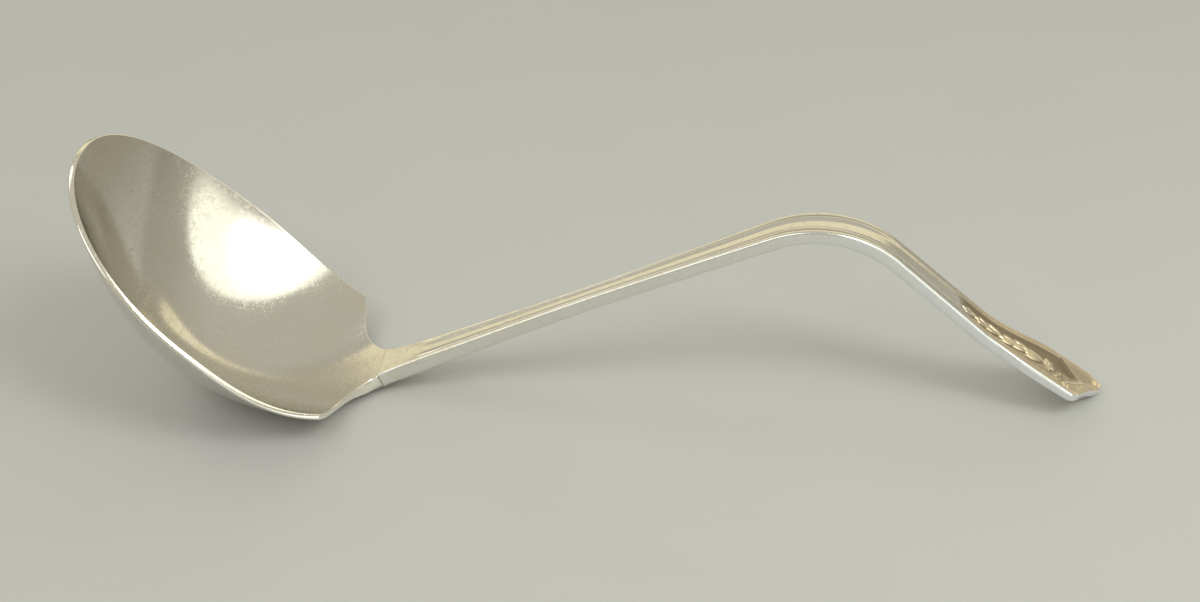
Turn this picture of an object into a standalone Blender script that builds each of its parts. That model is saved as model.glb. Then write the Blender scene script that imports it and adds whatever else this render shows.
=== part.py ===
"""Silver sauce ladle: a shouldered oval bowl, a bent die-struck handle, and the solder
layer that joins them at the neck.

It lies as it does on a table, on the belly of the bowl and the end of the handle.
X runs from the bowl to the handle's end, Y across, Z up, all in metres.
"""

from math import atan2, cos, hypot, pi, radians, sin, tan

import bpy
from mathutils import Matrix, Vector

# ------------------------------------------------------------------ driving sizes
# The bowl is drawn in its rim plane: s runs from the shoulders to the bowl's tip, y
# across, and d straight down into the bowl. The full bowl is a squarish oval dish,
# and the real rim is cut out of it.
SHOULDER_X, SHOULDER_Z = -0.04263, 0.00767  # midway between the two shoulders
RIM_TILT = radians(43.4)  # slope of the rim plane, tip end up
BOWL_CENTRE = 0.0233  # s of the deepest point
BOWL_DEPTH = 0.0210
DISH_TIP, DISH_NECK, DISH_SIDE = 0.0376, 0.0288, 0.0301
DISH_POWER = 2.60  # squareness of the dish at its sides
DISH_SWING = 0.24  # how much less that is at the tip, and more at the neck
SHEET = 0.0010  # thickness of the silver
RIM_TIP, RIM_HEEL, RIM_SIDE = 0.0340, 0.0351, 0.0256
RIM_POWER = 2.14
SHOULDER_HALF = 0.0204  # half the distance between the shoulders
SCALLOP = ((-0.0008, 0.0173), (-0.0030, 0.0104), (-0.0050, 0.0057))  # (s, y) below a shoulder
TONGUE_HALF = 0.0038  # the tongue, which meets the handle
TONGUE_END = -0.0054

# The handle's top face follows straight runs joined by round bends.
NECK = (-0.0380, 0.0039)
BEND = (0.0418, 0.0370)
END_BEND = (0.0677, 0.0139)
END_SLOPE = radians(32.9)
BEND_RADIUS, END_BEND_RADIUS = 0.021, 0.030
END_RUN = 0.0260  # from the end bend, past the longer lobe

# Distance along the top face from the neck: half width, thickness.
STEM = (
    (0.000, 0.0040, 0.0034),
    (0.004, 0.0036, 0.0033),
    (0.011, 0.0033, 0.0031),
    (0.036, 0.00245, 0.0028),
    (0.058, 0.0029, 0.0028),
    (0.080, 0.0037, 0.0028),
    (0.100, 0.0042, 0.0026),
    (0.116, 0.0045, 0.0024),
)
# Past the end bend: distance from it, near edge, far edge, thickness.
END = (
    (0.0010, -0.0046, 0.0045, 0.0024),
    (0.0060, -0.0056, 0.0050, 0.0023),
    (0.0105, -0.0062, 0.0059, 0.0022),
    (0.0150, -0.0067, 0.0062, 0.0020),
    (0.0180, -0.0068, 0.0061, 0.0018),
    (0.0240, -0.0066, 0.0054, 0.0015),
)
END_FULL = 0.0105  # distance from the end bend where the lobed end starts to shape the face
# The end's edge from the near side, -1, to the far side, 1: distance from the end bend.
END_EDGE = (
    (-1.00, 0.0166),
    (-0.90, 0.0176),
    (-0.55, 0.0191),
    (-0.20, 0.0207),
    (0.10, 0.0224),
    (0.40, 0.0235),
    (0.65, 0.0237),
    (0.88, 0.0225),
    (1.00, 0.0206),
)
BACK_ROUND = 0.15  # share of the thickness lost at the back's sides

# The bowl's root: the sheet thickens towards the neck to meet the stem's full section.
ROOT_THICK = 0.0031
ROOT_LONG, ROOT_WIDE = 0.0070, 0.0066  # how far the thickening reaches past the tongue
SOLDER = 0.0003  # the solder layer, across the whole section
GAP = 0.0003  # on each side of it
WEAR_BOX = (0.2, 0.08, 0.002)

# Mesh fineness.
RIM_STEPS, RING_STEPS, TONGUE_STEPS = 22, 11, 4
ACROSS = 9  # points across the handle's face
END_RINGS = 5
STATION = 0.0035  # between the handle's rings
SHARE_LIMIT, SHARE_HALVINGS = 1.5, 40  # search for the dish's level line
MERGE = 0.00001
SHARP = radians(40)

# Colour and roughness.
SILVER = (0.78, 0.77, 0.73, 1.0), 0.16
SILVER_HANDLE = (0.80, 0.80, 0.76, 1.0), 0.2
SOLDER_GREY = (0.62, 0.60, 0.53, 1.0), 0.4


# ------------------------------------------------------------------ helpers
def through(table, x):
    """Smooth curve through a table of (x, value, ...), flat beyond its ends."""
    x = min(max(x, table[0][0]), table[-1][0])
    i = max(k for k in range(len(table) - 1) if table[k][0] <= x)
    before, a, b = table[max(i - 1, 0)], table[i], table[i + 1]
    after = table[min(i + 2, len(table) - 1)]
    h = b[0] - a[0]
    t = (x - a[0]) / h
    values = []
    for k in range(1, len(a)):
        start = (b[k] - before[k]) / (b[0] - before[0]) * h
        end = (after[k] - a[k]) / (after[0] - a[0]) * h
        rest = t * t * (3 - 2 * t)
        values.append(
            a[k] * (1 - rest) + b[k] * rest + t * (1 - t) * (start * (1 - t) - end * t)
        )
    return values


def oval(angle, tip, neck, side, power, share=1.0):
    """Radius of a superellipse whose reach along s goes from the neck's to the tip's."""
    reach = (tip + neck) / 2 + (tip - neck) / 2 * cos(angle) * share
    c, s = abs(cos(angle)) / reach, abs(sin(angle)) / side
    return (c**power + s**power) ** (-1 / power)


# ------------------------------------------------------------------ bowl
def dish_radius(angle, share):
    """Plan radius of the dish's level line: an ellipse at the bottom, squarish on top."""
    power = 2 + (DISH_POWER - 2 - DISH_SWING * cos(angle)) * share**2
    return share * oval(angle, DISH_TIP, DISH_NECK, DISH_SIDE, power, share**2)


def dish_depth(share):
    """Depth below the rim plane, 0 at the full dish's rim."""
    return BOWL_DEPTH * (1 - share**2)


def rim_share(angle, radius):
    """How far out on the dish a plan point lies, 1 at the full dish's rim."""
    low, high = 0.0, SHARE_LIMIT
    for _ in range(SHARE_HALVINGS):
        middle = (low + high) / 2
        if dish_radius(angle, middle) < radius:
            low = middle
        else:
            high = middle
    return low


def from_rim_plane(s, y, d):
    return Vector(
        (
            SHOULDER_X - s * cos(RIM_TILT) - d * sin(RIM_TILT),
            y,
            SHOULDER_Z + s * sin(RIM_TILT) - d * cos(RIM_TILT),
        )
    )


def dish_point(s, y):
    """Point of the inner surface over a plan point."""
    along = s - BOWL_CENTRE
    angle = atan2(y, along)
    share = rim_share(angle, hypot(along, y))
    return from_rim_plane(s, y, dish_depth(share))


def rim_outline():
    """Half of the rim in plan, from the bowl's tip to the middle of the tongue."""
    heel_angle = atan2(SHOULDER_HALF, -BOWL_CENTRE)
    points = []
    for i in range(RIM_STEPS + 1):
        angle = heel_angle * i / RIM_STEPS
        radius = oval(angle, RIM_TIP, RIM_HEEL, RIM_SIDE, RIM_POWER)
        points.append((BOWL_CENTRE + radius * cos(angle), radius * sin(angle)))
    corner = points[-1]
    scallop = [corner, *SCALLOP, (TONGUE_END, TONGUE_HALF)]
    spline = [(i, *point) for i, point in enumerate(scallop)]
    count = 2 * (len(scallop) - 1)
    points += [tuple(through(spline, i / 2)) for i in range(1, count + 1)]
    for i in range(1, TONGUE_STEPS):
        points.append((TONGUE_END, TONGUE_HALF * (1 - i / TONGUE_STEPS)))
    points.append((TONGUE_END, 0.0))
    return points


def add_root_weights(obj):
    """Vertex group that is 1 at the tongue's end and falls to 0 around the root."""
    group = obj.vertex_groups.new(name="root")
    end = dish_point(TONGUE_END, 0).x
    for vert in obj.data.vertices:
        along = (end - vert.co.x) / ROOT_LONG
        across = max(abs(vert.co.y) - TONGUE_HALF, 0) / ROOT_WIDE
        group.add([vert.index], max(1 - hypot(along, across), 0), "REPLACE")
    return group.name


def make_bowl(collection):
    outline = rim_outline()
    verts = [dish_point(BOWL_CENTRE, 0)]
    for ring in range(1, RING_STEPS + 1):
        part = sin(pi / 2 * ring / RING_STEPS) if ring < RING_STEPS else 1.0
        for s, y in outline:
            plan_s = BOWL_CENTRE + (s - BOWL_CENTRE) * part
            verts.append(dish_point(plan_s, y * part))
    count = len(outline)
    faces = [(0, i + 2, i + 1) for i in range(count - 1)]
    for ring in range(RING_STEPS - 1):
        row = 1 + ring * count
        for i in range(count - 1):
            faces.append((row + i, row + i + 1, row + count + i + 1, row + count + i))
    obj = mesh_object("bowl", verts, faces, collection)
    mirror = obj.modifiers.new("other_half", "MIRROR")
    mirror.use_axis = (False, True, False)
    mirror.merge_threshold = MERGE
    sheet = obj.modifiers.new("sheet", "SOLIDIFY")
    sheet.thickness = ROOT_THICK
    sheet.vertex_group = add_root_weights(obj)
    sheet.thickness_vertex_group = SHEET / ROOT_THICK
    sheet.offset = -1
    sheet.use_even_offset = True
    return obj


# ------------------------------------------------------------------ handle
def slope_between(a, b):
    return atan2(b[1] - a[1], b[0] - a[0])


def handle_path():
    """The top face's line as straight runs and arcs: (length, x, z, slope, turn)."""
    tip = (END_BEND[0] + END_RUN * cos(END_SLOPE), END_BEND[1] - END_RUN * sin(END_SLOPE))
    corners = [NECK, BEND, END_BEND, tip]
    pieces = []
    x, z = NECK
    for i, radius in ((1, BEND_RADIUS), (2, END_BEND_RADIUS)):
        corner_x, corner_z = corners[i]
        before = slope_between(corners[i - 1], corners[i])
        after = slope_between(corners[i], corners[i + 1])
        tangent = radius * tan(abs(after - before) / 2)
        start = (corner_x - tangent * cos(before), corner_z - tangent * sin(before))
        pieces.append((hypot(start[0] - x, start[1] - z), x, z, before, 0.0))
        pieces.append((radius * abs(after - before), *start, before, after - before))
        x = corner_x + tangent * cos(after)
        z = corner_z + tangent * sin(after)
    pieces.append((hypot(tip[0] - x, tip[1] - z), x, z, -END_SLOPE, 0.0))
    return pieces


PATH = handle_path()
END_TANGENT = END_BEND_RADIUS * tan(abs(PATH[-2][4]) / 2)
END_START = sum(piece[0] for piece in PATH[:-1]) - END_TANGENT


def path_frame(a):
    """Point of the top face's line, its direction and its upward normal."""
    for length, x, z, slope, turn in PATH:
        if a <= length or (length, x, z, slope, turn) == PATH[-1]:
            break
        a -= length
    if turn:
        angle = turn * a / length
        radius = length / abs(turn)
        chord = 2 * radius * sin(abs(angle) / 2)
        x += chord * cos(slope + angle / 2)
        z += chord * sin(slope + angle / 2)
        slope += angle
    else:
        x += a * cos(slope)
        z += a * sin(slope)
    along = Vector((cos(slope), 0, sin(slope)))
    up = Vector((-sin(slope), 0, cos(slope)))
    return Vector((x, 0, z)), along, up


def face_edges(a):
    """Near edge, far edge and thickness of the handle at a distance along its face."""
    if a <= END_START:
        half, thick = through(STEM, a)
        return -half, half, thick
    return through(END, a - END_START)


def section(a, end_share):
    """One ring of the handle: across the top face, then back across the rounded back."""
    top, back = [], []
    for i in range(ACROSS):
        u = -1 + 2 * i / (ACROSS - 1)
        here = a
        if end_share > 0:
            edge = END_START + through(END_EDGE, u)[0]
            full = END_START + END_FULL
            here = full + end_share * (edge - full)
        near, far, thick = face_edges(here)
        y = (near + far) / 2 + u * (far - near) / 2
        point, _, up = path_frame(here)
        drop = thick * (1 - BACK_ROUND * abs(u) ** 3)
        top.append(point + Vector((0, y, 0)))
        back.append(point + Vector((0, y, 0)) - up * drop)
    return top + back[::-1]


def loft(name, rings, collection):
    count = len(rings[0])
    verts = [point for ring in rings for point in ring]
    faces = []
    for k in range(len(rings) - 1):
        for i in range(count):
            j = (i + 1) % count
            faces.append((k * count + i, (k + 1) * count + i, (k + 1) * count + j, k * count + j))
    faces += end_cap(0, count, flip=False)
    faces += end_cap((len(rings) - 1) * count, count, flip=True)
    return mesh_object(name, verts, faces, collection)


def end_cap(first, count, flip):
    """Strips between the two long sides of a flat ring."""
    faces = []
    for i in range(count // 2 - 1):
        a, b = first + i, first + i + 1
        c, d = first + count - 2 - i, first + count - 1 - i
        faces.append((a, b, c, d) if not flip else (d, c, b, a))
    return faces


def make_handle(collection):
    full = END_START + END_FULL
    stations = round(full / STATION)
    rings = [section(full * i / stations, 0) for i in range(stations + 1)]
    rings += [section(0, i / END_RINGS) for i in range(1, END_RINGS + 1)]
    return loft("handle", rings, collection)


def make_solder(collection):
    """The thin layer that fills the butt joint between the bowl's root and the handle."""
    rings = [section(-GAP - SOLDER, 0), section(-GAP, 0)]
    return loft("neck_solder", rings, collection)


def make_table_wear(collection):
    """Cutter with its top at the table, which wears the resting places flat."""
    bpy.ops.mesh.primitive_cube_add(size=1, location=(0, 0, -WEAR_BOX[2] / 2))
    cutter = bpy.context.object
    cutter.name = "table_wear"
    cutter.data.transform(Matrix.Diagonal((*WEAR_BOX, 1)))
    for old in list(cutter.users_collection):
        old.objects.unlink(cutter)
    collection.objects.link(cutter)
    cutter.hide_render = True
    cutter.display_type = "WIRE"
    return cutter


def wear(obj, cutter):
    cut = obj.modifiers.new("worn_flat", "BOOLEAN")
    cut.operation = "DIFFERENCE"
    cut.solver = "EXACT"
    cut.object = cutter


# ------------------------------------------------------------------ scene
def mesh_object(name, verts, faces, collection):
    mesh = bpy.data.meshes.new(name)
    mesh.from_pydata(verts, [], faces)
    mesh.validate()
    obj = bpy.data.objects.new(name, mesh)
    collection.objects.link(obj)
    return obj


def material(name, colour, roughness):
    mat = bpy.data.materials.new(name)
    mat.use_nodes = True
    shader = mat.node_tree.nodes["Principled BSDF"]
    shader.inputs["Base Color"].default_value = colour
    shader.inputs["Metallic"].default_value = 1.0
    shader.inputs["Roughness"].default_value = roughness
    return mat


def finish(obj, mat):
    obj.data.materials.append(mat)
    obj.data.shade_smooth()
    obj.data.set_sharp_from_angle(angle=SHARP)


def main():
    for old in list(bpy.data.objects):
        bpy.data.objects.remove(old, do_unlink=True)
    parts = bpy.data.collections.new("sauce_ladle")
    cutters = bpy.data.collections.new("cutters")
    for collection in (parts, cutters):
        bpy.context.scene.collection.children.link(collection)
    table = make_table_wear(cutters)
    bowl = make_bowl(parts)
    handle = make_handle(parts)
    wear(bowl, table)
    wear(handle, table)
    finish(bowl, material("bowl_silver", *SILVER))
    finish(handle, material("handle_silver", *SILVER_HANDLE))
    finish(make_solder(parts), material("solder", *SOLDER_GREY))


main()
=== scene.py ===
"""Looks of the silver sauce ladle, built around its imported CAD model.

The bowl, the handle and the solder seam are remade as fine meshes from the driving
dimensions of the solids, with rounded edges, a thread border and a struck floral strip.
Lengths are in metres, in the CAD model's frame.
"""

from math import atan2, cos, hypot, pi, radians, sin, tan

import bpy
import numpy as np
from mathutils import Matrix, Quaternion, Vector


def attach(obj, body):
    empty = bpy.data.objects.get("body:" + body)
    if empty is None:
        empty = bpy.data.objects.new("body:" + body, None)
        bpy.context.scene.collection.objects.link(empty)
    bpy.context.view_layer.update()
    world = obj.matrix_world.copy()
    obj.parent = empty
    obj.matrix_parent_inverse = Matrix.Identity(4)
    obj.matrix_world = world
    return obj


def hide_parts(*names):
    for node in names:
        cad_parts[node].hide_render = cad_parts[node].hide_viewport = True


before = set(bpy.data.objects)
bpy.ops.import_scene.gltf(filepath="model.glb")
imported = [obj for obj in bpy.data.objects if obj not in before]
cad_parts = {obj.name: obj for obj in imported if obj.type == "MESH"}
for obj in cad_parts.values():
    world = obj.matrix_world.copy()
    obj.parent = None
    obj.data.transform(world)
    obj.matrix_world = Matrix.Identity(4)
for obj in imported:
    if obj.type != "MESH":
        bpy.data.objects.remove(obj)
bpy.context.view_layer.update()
MM = 0.001

# ------------------------------------------------------------------ driving sizes
# The bowl, in its rim plane: s from the shoulders to the tip, y across, d down.
SHOULDER_X, SHOULDER_Z = -0.04263, 0.00767
RIM_TILT = radians(43.4)
BOWL_CENTRE = 0.0233
BOWL_DEPTH = 0.0210
DISH_TIP, DISH_NECK, DISH_SIDE = 0.0376, 0.0288, 0.0301
DISH_POWER, DISH_SWING = 2.60, 0.24
SHEET = 0.0010
RIM_TIP, RIM_HEEL, RIM_SIDE = 0.0340, 0.0351, 0.0256
RIM_POWER = 2.14
SHOULDER_HALF = 0.0204
# The scallop from the shoulder to the neck: (s, y).
SCALLOP = ((-0.0008, 0.0173), (-0.0030, 0.0104), (-0.0048, 0.0059))
ROOT_THICK = 0.0031
ROOT_LONG, ROOT_WIDE = 0.0070, 0.0066
ROOT_END_X = -0.0388
ROOT_HALF = 0.0038
ROOT_SOFTNESS = 0.20
# The root thins at the seam's two corners: by how much, how far from it and how late.
CORNER_THIN, CORNER_LONG, CORNER_POWER = 0.00017, 0.005, 3
SEAM_S = -0.00565  # where the bowl's tongue meets the seam
SEAM_HALF = 0.0046

# The handle's top face: straight runs joined by round bends.
NECK = (-0.0380, 0.0039)
BEND = (0.0418, 0.0370)
END_BEND = (0.0677, 0.0139)
END_SLOPE = radians(32.9)
BEND_RADIUS, END_BEND_RADIUS = 0.021, 0.030
END_RUN = 0.0260
# Distance along the face, half width, thickness.
STEM = (
    (0.000, 0.0040, 0.0034),
    (0.004, 0.0036, 0.0033),
    (0.011, 0.0033, 0.0031),
    (0.036, 0.00245, 0.0028),
    (0.058, 0.0029, 0.0028),
    (0.080, 0.0037, 0.0028),
    (0.100, 0.0042, 0.0026),
    (0.116, 0.0045, 0.0024),
)
# Distance past the end bend, near edge, far edge, thickness.
END = (
    (-0.0040, -0.0042, 0.0042, 0.0026),
    (0.0010, -0.0046, 0.0045, 0.0024),
    (0.0060, -0.0056, 0.0050, 0.0023),
    (0.0105, -0.0062, 0.0059, 0.0022),
    (0.0150, -0.0067, 0.0062, 0.0020),
    (0.0180, -0.0068, 0.0061, 0.0018),
    (0.0240, -0.0066, 0.0054, 0.0015),
)
END_FULL = 0.0105
END_BLEND = 0.005  # length over which the stem passes into the end
# Place across the end, from near to far, and how far past the end bend its edge is.
END_EDGE = (
    (-1.00, 0.0166),
    (-0.90, 0.0176),
    (-0.55, 0.0191),
    (-0.20, 0.0207),
    (0.10, 0.0224),
    (0.40, 0.0235),
    (0.65, 0.0237),
    (0.88, 0.0225),
    (1.00, 0.0206),
)
BACK_ROUND, BACK_POWER = 0.15, 3  # how much the back rises at its sides, and how late

# The seam across the neck, at a distance along the handle's face.
SEAM_A = -0.0004
SEAM_WIDE = 0.00012
SEAM_GAP = 0.00001
SEAM_INSET = 0.00003
FLARE, FLARE_LONG = 0.0006, 0.0009  # the handle's root widens to the seam
NECK_RISE, NECK_RISE_LONG = 0.00021, 0.0030  # and its face rises to meet the bowl
NECK_THIN = 0.00050

# Rounded edges.
LIP_IN, LIP_OUT = 0.00016, 0.00032
STEM_EDGE, END_SIDE_EDGE = 0.00034, 0.00052  # the face's long edges, at neck and end
BACK_EDGE, BACK_EDGE_SHARE = 0.00120, 0.45  # the back's edges, and their share of the wall
END_EDGE_ROUND, END_BACK_ROUND = 0.00022, 0.00060

# Painted dark reflection inside the bowl's tip, from the shoulders' line along the rim
# plane.
DARK_TIP_FROM, DARK_TIP_WIDE = 0.036, 0.020

SEAM_BLEND = 0.002  # from the seam's corners, where the lip passes to the neck's section
TURN_FROM = 0.375  # share of the stem from which its edges pass to the end's
TINY, TIE, NOT_ZERO = 1e-7, 1e-9, 1e-6

# Mesh fineness.
RIM_STEPS, SCALLOP_STEPS, TONGUE_STEPS, RING_STEPS = 170, 11, 12, 60
ARC_STEPS = 5
STEM_STATION, END_STATION = 0.0006, 0.00015
ACROSS = 101
EDGE_CLUSTER = 0.25  # how much closer the columns are at the edges
SEAM_COLUMNS = 41
SOLVER_STEPS, SOLVER_LIMIT = 40, 1.5
SLOPE_STEP = 0.0001
ORNAMENT_FROM = -0.0120  # from the end bend, where the fine mesh starts


# ------------------------------------------------------------------ helpers
def through(table, x):
    """Smooth curves through a table of (x, value, ...), flat beyond its ends."""
    table = np.array(table)
    x = np.clip(x, table[0, 0], table[-1, 0])
    i = np.clip(np.searchsorted(table[:, 0], x, side="right") - 1, 0, len(table) - 2)
    before, a, b = table[np.maximum(i - 1, 0)], table[i], table[i + 1]
    after = table[np.minimum(i + 2, len(table) - 1)]
    h = b[..., :1] - a[..., :1]
    t = (x[..., None] - a[..., :1]) / h
    start = (b - before) / (b[..., :1] - before[..., :1]) * h
    end = (after - a) / (after[..., :1] - a[..., :1]) * h
    rest = t * t * (3 - 2 * t)
    values = a * (1 - rest) + b * rest + t * (1 - t) * (start * (1 - t) - end * t)
    return np.moveaxis(values[..., 1:], -1, 0)


def smooth(x):
    """0 below 0, 1 above 1, smooth between."""
    x = np.clip(x, 0, 1)
    return x * x * (3 - 2 * x)


def bump(x, width):
    """1 at 0, and next to nothing beyond twice the width."""
    return np.exp(-((x / width) ** 2))


def unit(v):
    """The vectors' directions, one long."""
    return v / np.linalg.norm(v, axis=-1, keepdims=True)


def polyline_distance(x, y, points):
    """Distance from (x, y) to a chain of points, and which side of it they lie on."""
    best = np.full(x.shape, np.inf)
    side = np.ones(x.shape)
    for (ax, ay), (bx, by) in zip(points, points[1:]):
        dx, dy = bx - ax, by - ay
        t = np.clip(((x - ax) * dx + (y - ay) * dy) / (dx * dx + dy * dy), 0, 1)
        away = np.hypot(x - ax - t * dx, y - ay - t * dy)
        turn = np.sign(dx * (y - ay) - dy * (x - ax))
        nearer = away < best - TIE
        side = np.where(nearer, turn, side)
        best = np.where(nearer, away, best)
    return best, side


def arc_points(centre, start, end, radius):
    """Quarter circle from one direction to another, as rows of points."""
    angles = np.linspace(0, pi / 2, ARC_STEPS + 1)
    return [centre + radius * (start * cos(t) + end * sin(t)) for t in angles]


def edge_rows(inset, up, out, round_top, round_bottom, thick):
    """The wall under an inset edge: a rounded top, a straight run and a rounded bottom."""
    low = thick - round_bottom
    outline = inset + out * round_top
    rows = arc_points(inset - up * round_top, up, out, round_top)
    rows += arc_points(outline - out * round_bottom - up * low, out, -up, round_bottom)
    return rows


def straight_rows(top, bottom):
    """As many rows as edge_rows makes, evenly spaced on straight lines."""
    count = 2 * (ARC_STEPS + 1)
    return [top + (bottom - top) * k / (count - 1) for k in range(count)]


def mesh_object(name, verts, faces, attributes):
    """A smooth object in the scene, with one number per point for each attribute."""
    mesh = bpy.data.meshes.new(name)
    mesh.from_pydata(verts.tolist(), [], faces)
    mesh.validate()
    mesh.shade_smooth()
    for key, values in attributes.items():
        made = mesh.attributes.new(key, "FLOAT", "POINT")
        made.data.foreach_set("value", values.astype(np.float32))
    obj = bpy.data.objects.new(name, mesh)
    bpy.context.scene.collection.objects.link(obj)
    return obj


# ------------------------------------------------------------------ handle's path
def slope_between(a, b):
    """Slope of the straight line from a to b, as (x, z)."""
    return atan2(b[1] - a[1], b[0] - a[0])


def handle_path():
    """The top face's line as straight runs and arcs: (length, x, z, slope, turn)."""
    tip = (END_BEND[0] + END_RUN * cos(END_SLOPE), END_BEND[1] - END_RUN * sin(END_SLOPE))
    corners = [NECK, BEND, END_BEND, tip]
    pieces = []
    x, z = NECK
    for i, radius in ((1, BEND_RADIUS), (2, END_BEND_RADIUS)):
        corner_x, corner_z = corners[i]
        before = slope_between(corners[i - 1], corners[i])
        after = slope_between(corners[i], corners[i + 1])
        tangent = radius * tan(abs(after - before) / 2)
        start = (corner_x - tangent * cos(before), corner_z - tangent * sin(before))
        pieces.append((hypot(start[0] - x, start[1] - z), x, z, before, 0.0))
        pieces.append((radius * abs(after - before), *start, before, after - before))
        x = corner_x + tangent * cos(after)
        z = corner_z + tangent * sin(after)
    pieces.append((hypot(tip[0] - x, tip[1] - z), x, z, -END_SLOPE, 0.0))
    return pieces


PATH = handle_path()
END_TANGENT = END_BEND_RADIUS * tan(abs(PATH[-2][4]) / 2)
END_START = sum(piece[0] for piece in PATH[:-1]) - END_TANGENT
SEAM_SLOPE = PATH[0][3]
SEAM_ALONG = np.array((cos(SEAM_SLOPE), 0, sin(SEAM_SLOPE)))
SEAM_UP = np.array((-sin(SEAM_SLOPE), 0, cos(SEAM_SLOPE)))


def path_frame(a):
    """Points of the top face's line, with its direction and its upward normal."""
    point = np.zeros((*a.shape, 3))
    slope = np.zeros(a.shape)
    left = a.copy()
    todo = np.ones(a.shape, bool)
    for i, (length, x, z, first, turn) in enumerate(PATH):
        here = todo & ((left <= length) | (i == len(PATH) - 1))
        run = left[here]
        half = turn * run / length / 2
        chord = run * np.sinc(half / pi)
        point[here, 0] = x + chord * np.cos(first + half)
        point[here, 2] = z + chord * np.sin(first + half)
        slope[here] = first + 2 * half
        todo &= ~here
        left -= length
    flat = np.zeros(a.shape)
    along = np.stack([np.cos(slope), flat, np.sin(slope)], -1)
    up = np.stack([-np.sin(slope), flat, np.cos(slope)], -1)
    return point, along, up


def face_point(a, y, height):
    """Points at a distance along the face, a place across it and a height over it."""
    point, _, up = path_frame(a)
    point = point + up * height[..., None]
    point[..., 1] += y
    return point


# ------------------------------------------------------------------ bowl
def oval(angle, tip, neck, side, power, share=1.0):
    """Radius of a superellipse whose reach along s goes from the neck's to the tip's."""
    reach = (tip + neck) / 2 + (tip - neck) / 2 * np.cos(angle) * share
    c, s = np.abs(np.cos(angle)) / reach, np.abs(np.sin(angle)) / side
    return (c**power + s**power) ** (-1 / power)


def dish_radius(angle, share):
    """Radius of the bowl's inner surface at a share of the way out to its brim."""
    power = 2 + (DISH_POWER - 2 - DISH_SWING * np.cos(angle)) * share**2
    return share * oval(angle, DISH_TIP, DISH_NECK, DISH_SIDE, power, share**2)


def dish_point(s, y):
    """Point of the bowl's inner surface over a plan point."""
    angle = np.arctan2(y, s - BOWL_CENTRE)
    radius = np.hypot(s - BOWL_CENTRE, y)
    low, high = np.zeros(s.shape), np.full(s.shape, SOLVER_LIMIT)
    for _ in range(SOLVER_STEPS):
        share = (low + high) / 2
        inside = dish_radius(angle, share) < radius
        low = np.where(inside, share, low)
        high = np.where(inside, high, share)
    d = BOWL_DEPTH * (1 - low**2)
    x = SHOULDER_X - s * cos(RIM_TILT) - d * sin(RIM_TILT)
    z = SHOULDER_Z + s * sin(RIM_TILT) - d * cos(RIM_TILT)
    return np.stack([x, y, z], -1)


def dish_normal(s, y):
    """Direction out of the bowl's inner surface, into the bowl."""
    along = dish_point(s + SLOPE_STEP, y) - dish_point(s - SLOPE_STEP, y)
    across = dish_point(s, y + SLOPE_STEP) - dish_point(s, y - SLOPE_STEP)
    return unit(np.cross(across, along))


def bowl_thickness(point):
    """The sheet's thickness, which swells smoothly to the root at the neck."""
    along = np.maximum(ROOT_END_X - point[..., 0], 0) / ROOT_LONG
    across = np.maximum(np.abs(point[..., 1]) - ROOT_HALF, 0) / ROOT_WIDE
    near = 1 - np.hypot(along, across)
    swell = (near + np.hypot(near, ROOT_SOFTNESS)) / 2
    corner = np.minimum(np.abs(point[..., 1]) / SEAM_HALF, 1) ** CORNER_POWER
    corner = corner * smooth(1 + (point[..., 0] - ROOT_END_X) / CORNER_LONG)
    return SHEET + (ROOT_THICK - SHEET) * np.minimum(swell, 1) - CORNER_THIN * corner


def rim_outline():
    """The rim in plan as a closed loop of (s, y), from the tip round by the far side."""
    angle = np.linspace(0, atan2(SHOULDER_HALF, -BOWL_CENTRE), RIM_STEPS + 1)
    radius = oval(angle, RIM_TIP, RIM_HEEL, RIM_SIDE, RIM_POWER)
    rim = np.stack([BOWL_CENTRE + radius * np.cos(angle), radius * np.sin(angle)], -1)
    marks = [rim[-1], *SCALLOP, (SEAM_S, SEAM_HALF)]
    spline = [(i, *mark) for i, mark in enumerate(marks)]
    steps = np.linspace(0, len(marks) - 1, (len(marks) - 1) * SCALLOP_STEPS + 1)
    scallop = np.stack(through(spline, steps[1:]), -1)
    tongue_y = np.linspace(SEAM_HALF, 0, TONGUE_STEPS + 1)[1:]
    tongue = np.stack([np.full(TONGUE_STEPS, SEAM_S), tongue_y], -1)
    half = np.concatenate([rim, scallop, tongue])
    return np.concatenate([half, half[-2:0:-1] * (1, -1)])


def to_seam(points, offset):
    """Slides points along the handle's direction onto the plane of the seam."""
    start = face_point(np.array(SEAM_A + offset), np.array(0.0), np.array(0.0))
    away = (points - start) @ SEAM_ALONG
    return points - away[..., None] * SEAM_ALONG


def rim_plan(points):
    """Plan place (s, y) of points, in the rim plane."""
    x, z = points[:, 0] - SHOULDER_X, points[:, 2] - SHOULDER_Z
    return z * sin(RIM_TILT) - x * cos(RIM_TILT), points[:, 1]


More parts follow.
